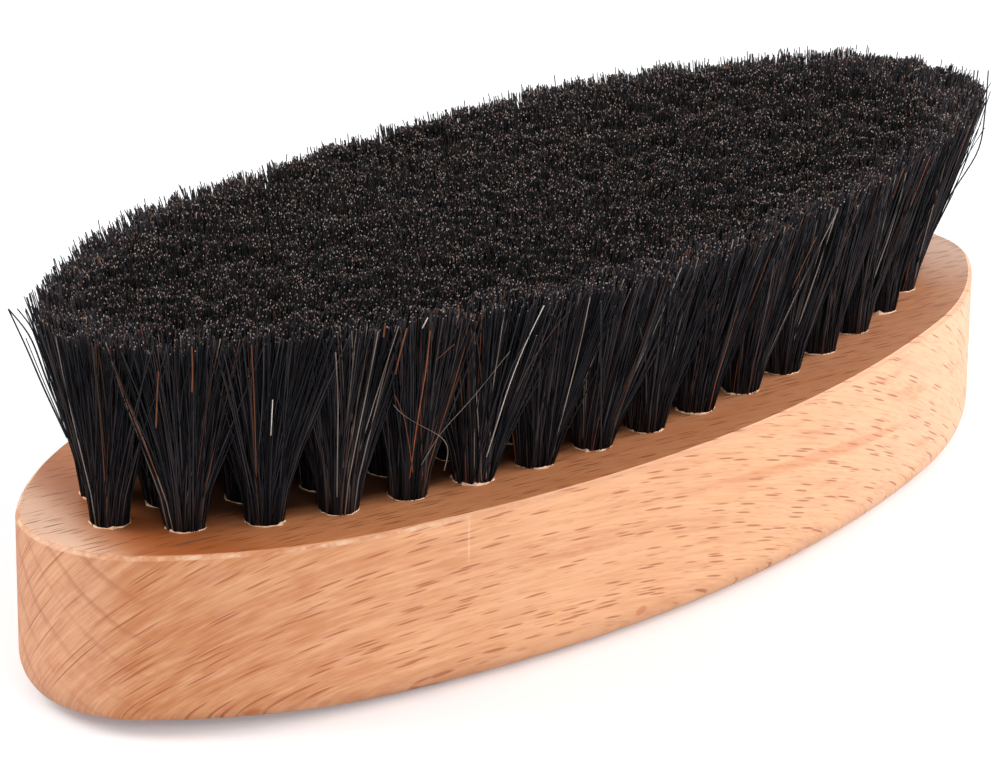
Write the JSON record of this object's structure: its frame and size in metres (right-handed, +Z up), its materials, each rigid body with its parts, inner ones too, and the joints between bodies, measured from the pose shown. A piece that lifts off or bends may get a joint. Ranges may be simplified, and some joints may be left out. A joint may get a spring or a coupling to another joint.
{
  "type": "shoe shine brush",
  "caption": "Oval hand brush for polishing shoes: a beech block set with rows of dark horsehair tufts, trimmed flat.",
  "frame": {"origin": "middle of the flat back of the block, which the brush rests on, with the bristles up", "axes": "+X runs along the brush, +Y across it and +Z up from the back to the bristles' trimmed ends"},
  "size_m": [0.18, 0.073, 0.053],
  "materials": {
    "beech": "sanded bare steamed beech, smooth and matt",
    "horsehair": "black-brown horsehair with a soft sheen",
    "anchor_steel": "flat drawn steel wire"
  },
  "bodies": {
    "root": {"centre_row_anchors": "anchor_steel", "centre_row_tufts_01": "horsehair", "handle_block": "beech", "rim_row_anchors": "anchor_steel", "rim_row_tufts_01": "horsehair", "rim_row_tufts_02": "horsehair", "rim_row_tufts_03": "horsehair", "rim_row_tufts_04": "horsehair", "rim_row_tufts_05": "horsehair", "rim_row_tufts_06": "horsehair", "rim_row_tufts_07": "horsehair", "rim_row_tufts_08": "horsehair", "rim_row_tufts_09": "horsehair", "rim_row_tufts_10": "horsehair", "rim_row_tufts_11": "horsehair", "rim_row_tufts_12": "horsehair", "rim_row_tufts_13": "horsehair", "rim_row_tufts_14": "horsehair", "rim_row_tufts_15": "horsehair", "rim_row_tufts_16": "horsehair", "rim_row_tufts_17": "horsehair", "rim_row_tufts_18": "horsehair", "rim_row_tufts_19": "horsehair", "rim_row_tufts_20": "horsehair", "rim_row_tufts_21": "horsehair", "rim_row_tufts_22": "horsehair", "rim_row_tufts_23": "horsehair", "rim_row_tufts_24": "horsehair", "rim_row_tufts_25": "horsehair", "rim_row_tufts_26": "horsehair", "rim_row_tufts_27": "horsehair", "rim_row_tufts_28": "horsehair", "rim_row_tufts_29": "horsehair", "rim_row_tufts_30": "horsehair", "rim_row_tufts_31": "horsehair", "rim_row_tufts_32": "horsehair", "rim_row_tufts_33": "horsehair", "rim_row_tufts_34": "horsehair", "second_row_anchors": "anchor_steel", "second_row_tufts_01": "horsehair", "second_row_tufts_02": "horsehair", "second_row_tufts_03": "horsehair", "second_row_tufts_04": "horsehair", "second_row_tufts_05": "horsehair", "second_row_tufts_06": "horsehair", "second_row_tufts_07": "horsehair", "second_row_tufts_08": "horsehair", "second_row_tufts_09": "horsehair", "second_row_tufts_10": "horsehair", "second_row_tufts_11": "horsehair", "second_row_tufts_12": "horsehair", "second_row_tufts_13": "horsehair", "second_row_tufts_14": "horsehair", "third_row_anchors": "anchor_steel", "third_row_tufts_01": "horsehair", "third_row_tufts_02": "horsehair", "third_row_tufts_03": "horsehair", "third_row_tufts_04": "horsehair"}
  },
  "joints": []
}
